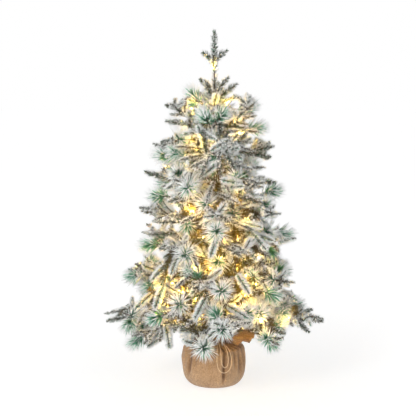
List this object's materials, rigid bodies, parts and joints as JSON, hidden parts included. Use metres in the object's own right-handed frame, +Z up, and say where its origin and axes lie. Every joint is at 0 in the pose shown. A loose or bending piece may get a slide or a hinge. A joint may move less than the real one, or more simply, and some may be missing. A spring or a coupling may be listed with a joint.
{
  "type": "pre-lit tabletop christmas tree",
  "caption": "Frosted artificial tabletop tree with fold-up branches, pine cones and battery lights, weighted in a tied burlap sack.",
  "frame": {"origin": "on the ground, at the middle of the flat underside of the base", "axes": "+Z up along the trunk, -Y towards the front of the tree, +X to the viewer's right"},
  "size_m": [0.547, 0.5188, 0.9],
  "materials": {
    "frosted_needles": "green needles with white flocking",
    "cone_scales": "natural cone, frosted",
    "burlap": "plain-woven jute, unbleached",
    "twine": "laid jute twine",
    "cement": "poured, rough",
    "black_plastic": "moulded, fine grain",
    "steel": "drawn tube, galvanised",
    "brown_film": "wound film",
    "lead_sheath": "smooth insulation",
    "cell_jacket": "plain sleeve with no text",
    "nickel": "nickel plated"
  },
  "bodies": {
    "stand": {"base_pot": "black_plastic", "base_weight": "cement", "burlap_sack": "burlap", "twine_tie": "twine", "twine_loop_outer": "twine", "twine_loop_inner": "twine", "trunk_pole": "steel", "trunk_wrap": "brown_film", "light_lead": "lead_sheath", "top_spire": "frosted_needles", "battery_case": "black_plastic", "cell_1": "cell_jacket", "cell_2": "cell_jacket", "cell_3": "cell_jacket", "contact_left": "nickel", "contact_right": "nickel"},
    "cover": {"battery_cover": "black_plastic"},
    "switch": {"switch_slider": "black_plastic"},
    "bough_1_1": {"branch_1_1": "frosted_needles", "pine_cone_1": "cone_scales"},
    "bough_1_2": {"branch_1_2": "frosted_needles"},
    "bough_1_3": {"branch_1_3": "frosted_needles"},
    "bough_1_4": {"branch_1_4": "frosted_needles"},
    "bough_1_5": {"branch_1_5": "frosted_needles"},
    "bough_1_6": {"branch_1_6": "frosted_needles"},
    "bough_2_1": {"branch_2_1": "frosted_needles"},
    "bough_2_2": {"branch_2_2": "frosted_needles"},
    "bough_2_3": {"branch_2_3": "frosted_needles"},
    "bough_2_4": {"branch_2_4": "frosted_needles"},
    "bough_2_5": {"branch_2_5": "frosted_needles"},
    "bough_3_1": {"branch_3_1": "frosted_needles"},
    "bough_3_2": {"branch_3_2": "frosted_needles"},
    "bough_3_3": {"branch_3_3": "frosted_needles"},
    "bough_3_4": {"branch_3_4": "frosted_needles"},
    "bough_3_5": {"branch_3_5": "frosted_needles"},
    "bough_4_1": {"branch_4_1": "frosted_needles"},
    "bough_4_2": {"branch_4_2": "frosted_needles", "pine_cone_3": "cone_scales"},
    "bough_4_3": {"branch_4_3": "frosted_needles"},
    "bough_4_4": {"branch_4_4": "frosted_needles"},
    "bough_4_5": {"branch_4_5": "frosted_needles"},
    "bough_5_1": {"branch_5_1": "frosted_needles", "pine_cone_5": "cone_scales"},
    "bough_5_2": {"branch_5_2": "frosted_needles", "pine_cone_6": "cone_scales"},
    "bough_5_3": {"branch_5_3": "frosted_needles", "pine_cone_2": "cone_scales"},
    "bough_5_4": {"branch_5_4": "frosted_needles", "pine_cone_4": "cone_scales"},
    "bough_6_1": {"branch_6_1": "frosted_needles", "pine_cone_7": "cone_scales"},
    "bough_6_2": {"branch_6_2": "frosted_needles"},
    "bough_6_3": {"branch_6_3": "frosted_needles"},
    "bough_6_4": {"branch_6_4": "frosted_needles"},
    "bough_7_1": {"branch_7_1": "frosted_needles"},
    "bough_7_2": {"branch_7_2": "frosted_needles"},
    "bough_7_3": {"branch_7_3": "frosted_needles"},
    "bough_8_1": {"branch_8_1": "frosted_needles"},
    "bough_8_2": {"branch_8_2": "frosted_needles"},
    "bough_8_3": {"branch_8_3": "frosted_needles"}
  },
  "joints": [
    {"name": "fold_1_1", "type": "hinge", "parent": "stand", "child": "bough_1_1", "pos_m": [-0.00232, -0.00931, 0.198], "axis": [-0.9703, 0.2419, 0], "range_deg": [0, 75]},
    {"name": "fold_1_2", "type": "hinge", "parent": "stand", "child": "bough_1_2", "pos_m": [0.00691, -0.00667, 0.19], "axis": [-0.6947, -0.7193, 0], "range_deg": [0, 75]},
    {"name": "fold_1_3", "type": "hinge", "parent": "stand", "child": "bough_1_3", "pos_m": [0.00923, 0.00265, 0.198], "axis": [0.2756, -0.9613, 0], "range_deg": [0, 75]},
    {"name": "fold_1_4", "type": "hinge", "parent": "stand", "child": "bough_1_4", "pos_m": [0.002, 0.00939, 0.19], "axis": [0.9781, -0.2079, 0], "range_deg": [0, 75]},
    {"name": "fold_1_5", "type": "hinge", "parent": "stand", "child": "bough_1_5", "pos_m": [-0.00713, 0.00642, 0.198], "axis": [0.6691, 0.7431, 0], "range_deg": [0, 75]},
    {"name": "fold_1_6", "type": "hinge", "parent": "stand", "child": "bough_1_6", "pos_m": [-0.00913, -0.00297, 0.19], "axis": [-0.309, 0.9511, 0], "range_deg": [0, 75]},
    {"name": "fold_2_1", "type": "hinge", "parent": "stand", "child": "bough_2_1", "pos_m": [0.00134, -0.00951, 0.244], "axis": [-0.9903, -0.1392, 0], "range_deg": [0, 71.5]},
    {"name": "fold_2_2", "type": "hinge", "parent": "stand", "child": "bough_2_2", "pos_m": [0.00923, -0.00265, 0.236], "axis": [-0.2756, -0.9613, 0], "range_deg": [0, 71.5]},
    {"name": "fold_2_3", "type": "hinge", "parent": "stand", "child": "bough_2_3", "pos_m": [0.00617, 0.00735, 0.244], "axis": [0.766, -0.6428, 0], "range_deg": [0, 71.5]},
    {"name": "fold_2_4", "type": "hinge", "parent": "stand", "child": "bough_2_4", "pos_m": [-0.00509, 0.00814, 0.236], "axis": [0.848, 0.5299, 0], "range_deg": [0, 71.5]},
    {"name": "fold_2_5", "type": "hinge", "parent": "stand", "child": "bough_2_5", "pos_m": [-0.00939, -0.002, 0.244], "axis": [-0.2079, 0.9781, 0], "range_deg": [0, 71.5]},
    {"name": "fold_3_1", "type": "hinge", "parent": "stand", "child": "bough_3_1", "pos_m": [-0.00134, -0.00951, 0.304], "axis": [-0.9903, 0.1392, 0], "range_deg": [0, 64]},
    {"name": "fold_3_2", "type": "hinge", "parent": "stand", "child": "bough_3_2", "pos_m": [0.00831, -0.0048, 0.296], "axis": [-0.5, -0.866, 0], "range_deg": [0, 64]},
    {"name": "fold_3_3", "type": "hinge", "parent": "stand", "child": "bough_3_3", "pos_m": [0.00831, 0.0048, 0.304], "axis": [0.5, -0.866, 0], "range_deg": [0, 64]},
    {"name": "fold_3_4", "type": "hinge", "parent": "stand", "child": "bough_3_4", "pos_m": [-0.00167, 0.00945, 0.296], "axis": [0.9848, 0.1736, 0], "range_deg": [0, 64]},
    {"name": "fold_3_5", "type": "hinge", "parent": "stand", "child": "bough_3_5", "pos_m": [-0.00959, -0.00034, 0.304], "axis": [-0.0349, 0.9994, 0], "range_deg": [0, 64]},
    {"name": "fold_4_1", "type": "hinge", "parent": "stand", "child": "bough_4_1", "pos_m": [-0.00537, -0.00796, 0.37], "axis": [-0.829, 0.5592, 0], "range_deg": [0, 58]},
    {"name": "fold_4_2", "type": "hinge", "parent": "stand", "child": "bough_4_2", "pos_m": [0.0039, -0.00877, 0.362], "axis": [-0.9135, -0.4067, 0], "range_deg": [0, 58]},
    {"name": "fold_4_3", "type": "hinge", "parent": "stand", "child": "bough_4_3", "pos_m": [0.00955, -0.001, 0.37], "axis": [-0.1045, -0.9945, 0], "range_deg": [0, 58]},
    {"name": "fold_4_4", "type": "hinge", "parent": "stand", "child": "bough_4_4", "pos_m": [0.0039, 0.00877, 0.362], "axis": [0.9135, -0.4067, 0], "range_deg": [0, 58]},
    {"name": "fold_4_5", "type": "hinge", "parent": "stand", "child": "bough_4_5", "pos_m": [-0.00877, 0.0039, 0.37], "axis": [0.4067, 0.9135, 0], "range_deg": [0, 58]},
    {"name": "fold_5_1", "type": "hinge", "parent": "stand", "child": "bough_5_1", "pos_m": [0.00034, -0.00959, 0.44], "axis": [-0.9994, -0.0349, 0], "range_deg": [0, 54]},
    {"name": "fold_5_2", "type": "hinge", "parent": "stand", "child": "bough_5_2", "pos_m": [0.00814, -0.00509, 0.432], "axis": [-0.5299, -0.848, 0], "range_deg": [0, 54]},
    {"name": "fold_5_3", "type": "hinge", "parent": "stand", "child": "bough_5_3", "pos_m": [-0.00328, 0.00902, 0.44], "axis": [0.9397, 0.342, 0], "range_deg": [0, 54]},
    {"name": "fold_5_4", "type": "hinge", "parent": "stand", "child": "bough_5_4", "pos_m": [-0.00923, -0.00265, 0.432], "axis": [-0.2756, 0.9613, 0], "range_deg": [0, 54]},
    {"name": "fold_6_1", "type": "hinge", "parent": "stand", "child": "bough_6_1", "pos_m": [-0.00537, -0.00796, 0.51], "axis": [-0.829, 0.5592, 0], "range_deg": [0, 50]},
    {"name": "fold_6_2", "type": "hinge", "parent": "stand", "child": "bough_6_2", "pos_m": [0.00642, -0.00713, 0.502], "axis": [-0.7431, -0.6691, 0], "range_deg": [0, 50]},
    {"name": "fold_6_3", "type": "hinge", "parent": "stand", "child": "bough_6_3", "pos_m": [0.00551, 0.00786, 0.51], "axis": [0.8191, -0.5736, 0], "range_deg": [0, 50]},
    {"name": "fold_6_4", "type": "hinge", "parent": "stand", "child": "bough_6_4", "pos_m": [-0.00848, 0.00451, 0.502], "axis": [0.4695, 0.8829, 0], "range_deg": [0, 50]},
    {"name": "fold_7_1", "type": "hinge", "parent": "stand", "child": "bough_7_1", "pos_m": [0.00232, -0.00931, 0.582], "axis": [-0.9703, -0.2419, 0], "range_deg": [0, 46]},
    {"name": "fold_7_2", "type": "hinge", "parent": "stand", "child": "bough_7_2", "pos_m": [0.00951, 0.00134, 0.574], "axis": [0.1392, -0.9903, 0], "range_deg": [0, 46]},
    {"name": "fold_7_3", "type": "hinge", "parent": "stand", "child": "bough_7_3", "pos_m": [-0.00951, -0.00134, 0.582], "axis": [-0.1392, 0.9903, 0], "range_deg": [0, 46]},
    {"name": "fold_8_1", "type": "hinge", "parent": "stand", "child": "bough_8_1", "pos_m": [0.00756, -0.00591, 0.654], "axis": [-0.6157, -0.788, 0], "range_deg": [0, 30]},
    {"name": "fold_8_2", "type": "hinge", "parent": "stand", "child": "bough_8_2", "pos_m": [0.00084, 0.00956, 0.646], "axis": [0.9962, -0.0872, 0], "range_deg": [0, 30]},
    {"name": "fold_8_3", "type": "hinge", "parent": "stand", "child": "bough_8_3", "pos_m": [-0.0087, -0.00406, 0.654], "axis": [-0.4226, 0.9063, 0], "range_deg": [0, 30]},
    {"name": "cover_slide", "type": "slide", "parent": "stand", "child": "cover", "axis": [-1, 0, 0], "range_m": [0, 0.062]},
    {"name": "switch_slide", "type": "slide", "parent": "stand", "child": "switch", "axis": [0, 0, -1], "range_m": [0, 0.004]}
  ],
  "couplings": [
    {"joint": "fold_1_2", "follows": "fold_1_1", "ratio": 1},
    {"joint": "fold_1_3", "follows": "fold_1_1", "ratio": 1},
    {"joint": "fold_1_4", "follows": "fold_1_1", "ratio": 1},
    {"joint": "fold_1_5", "follows": "fold_1_1", "ratio": 1},
    {"joint": "fold_1_6", "follows": "fold_1_1", "ratio": 1},
    {"joint": "fold_2_1", "follows": "fold_1_1", "ratio": 0.9533},
    {"joint": "fold_2_2", "follows": "fold_1_1", "ratio": 0.9533},
    {"joint": "fold_2_3", "follows": "fold_1_1", "ratio": 0.9533},
    {"joint": "fold_2_4", "follows": "fold_1_1", "ratio": 0.9533},
    {"joint": "fold_2_5", "follows": "fold_1_1", "ratio": 0.9533},
    {"joint": "fold_3_1", "follows": "fold_1_1", "ratio": 0.8533},
    {"joint": "fold_3_2", "follows": "fold_1_1", "ratio": 0.8533},
    {"joint": "fold_3_3", "follows": "fold_1_1", "ratio": 0.8533},
    {"joint": "fold_3_4", "follows": "fold_1_1", "ratio": 0.8533},
    {"joint": "fold_3_5", "follows": "fold_1_1", "ratio": 0.8533},
    {"joint": "fold_4_1", "follows": "fold_1_1", "ratio": 0.7733},
    {"joint": "fold_4_2", "follows": "fold_1_1", "ratio": 0.7733},
    {"joint": "fold_4_3", "follows": "fold_1_1", "ratio": 0.7733},
    {"joint": "fold_4_4", "follows": "fold_1_1", "ratio": 0.7733},
    {"joint": "fold_4_5", "follows": "fold_1_1", "ratio": 0.7733},
    {"joint": "fold_5_1", "follows": "fold_1_1", "ratio": 0.72},
    {"joint": "fold_5_2", "follows": "fold_1_1", "ratio": 0.72},
    {"joint": "fold_5_3", "follows": "fold_1_1", "ratio": 0.72},
    {"joint": "fold_5_4", "follows": "fold_1_1", "ratio": 0.72},
    {"joint": "fold_6_1", "follows": "fold_1_1", "ratio": 0.6666},
    {"joint": "fold_6_2", "follows": "fold_1_1", "ratio": 0.6666},
    {"joint": "fold_6_3", "follows": "fold_1_1", "ratio": 0.6666},
    {"joint": "fold_6_4", "follows": "fold_1_1", "ratio": 0.6666},
    {"joint": "fold_7_1", "follows": "fold_1_1", "ratio": 0.6133},
    {"joint": "fold_7_2", "follows": "fold_1_1", "ratio": 0.6133},
    {"joint": "fold_7_3", "follows": "fold_1_1", "ratio": 0.6133},
    {"joint": "fold_8_1", "follows": "fold_1_1", "ratio": 0.4},
    {"joint": "fold_8_2", "follows": "fold_1_1", "ratio": 0.4},
    {"joint": "fold_8_3", "follows": "fold_1_1", "ratio": 0.4}
  ]
}
